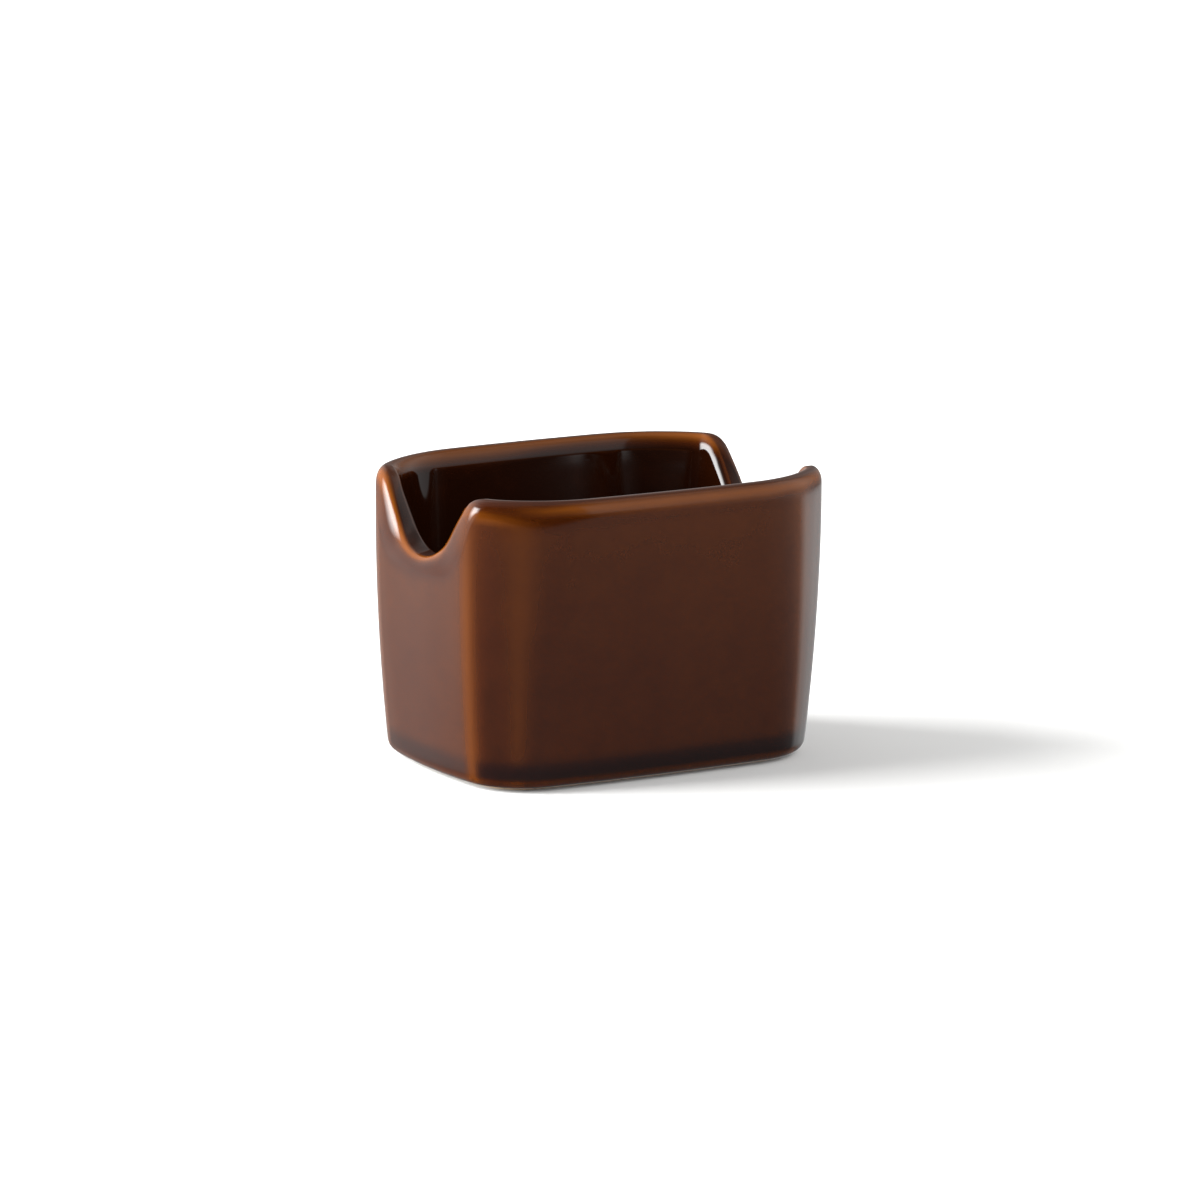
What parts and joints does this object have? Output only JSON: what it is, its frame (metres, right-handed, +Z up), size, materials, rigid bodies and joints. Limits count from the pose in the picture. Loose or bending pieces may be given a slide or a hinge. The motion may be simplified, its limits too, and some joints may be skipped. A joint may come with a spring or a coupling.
{
  "type": "sugar packet holder",
  "caption": "Open glazed stoneware holder for paper sugar packets, a rounded rectangle with bowed leaning walls and a rounded finger notch in each short end.",
  "frame": {"origin": "middle of the plane that the foot ring stands on", "axes": "+X along the length, from one notched end to the other; +Z up; -Y is the long wall nearer the camera"},
  "size_m": [0.0912, 0.069, 0.0635],
  "materials": {
    "clay": "bare fired stoneware, matt, on the foot ring",
    "glaze": "glossy translucent brown glaze, dark where thick and amber where it thins over rims and corners"
  },
  "bodies": {
    "root": {"stoneware_body": "clay", "glaze_coat": "glaze", "base_glaze": "glaze"}
  },
  "joints": []
}
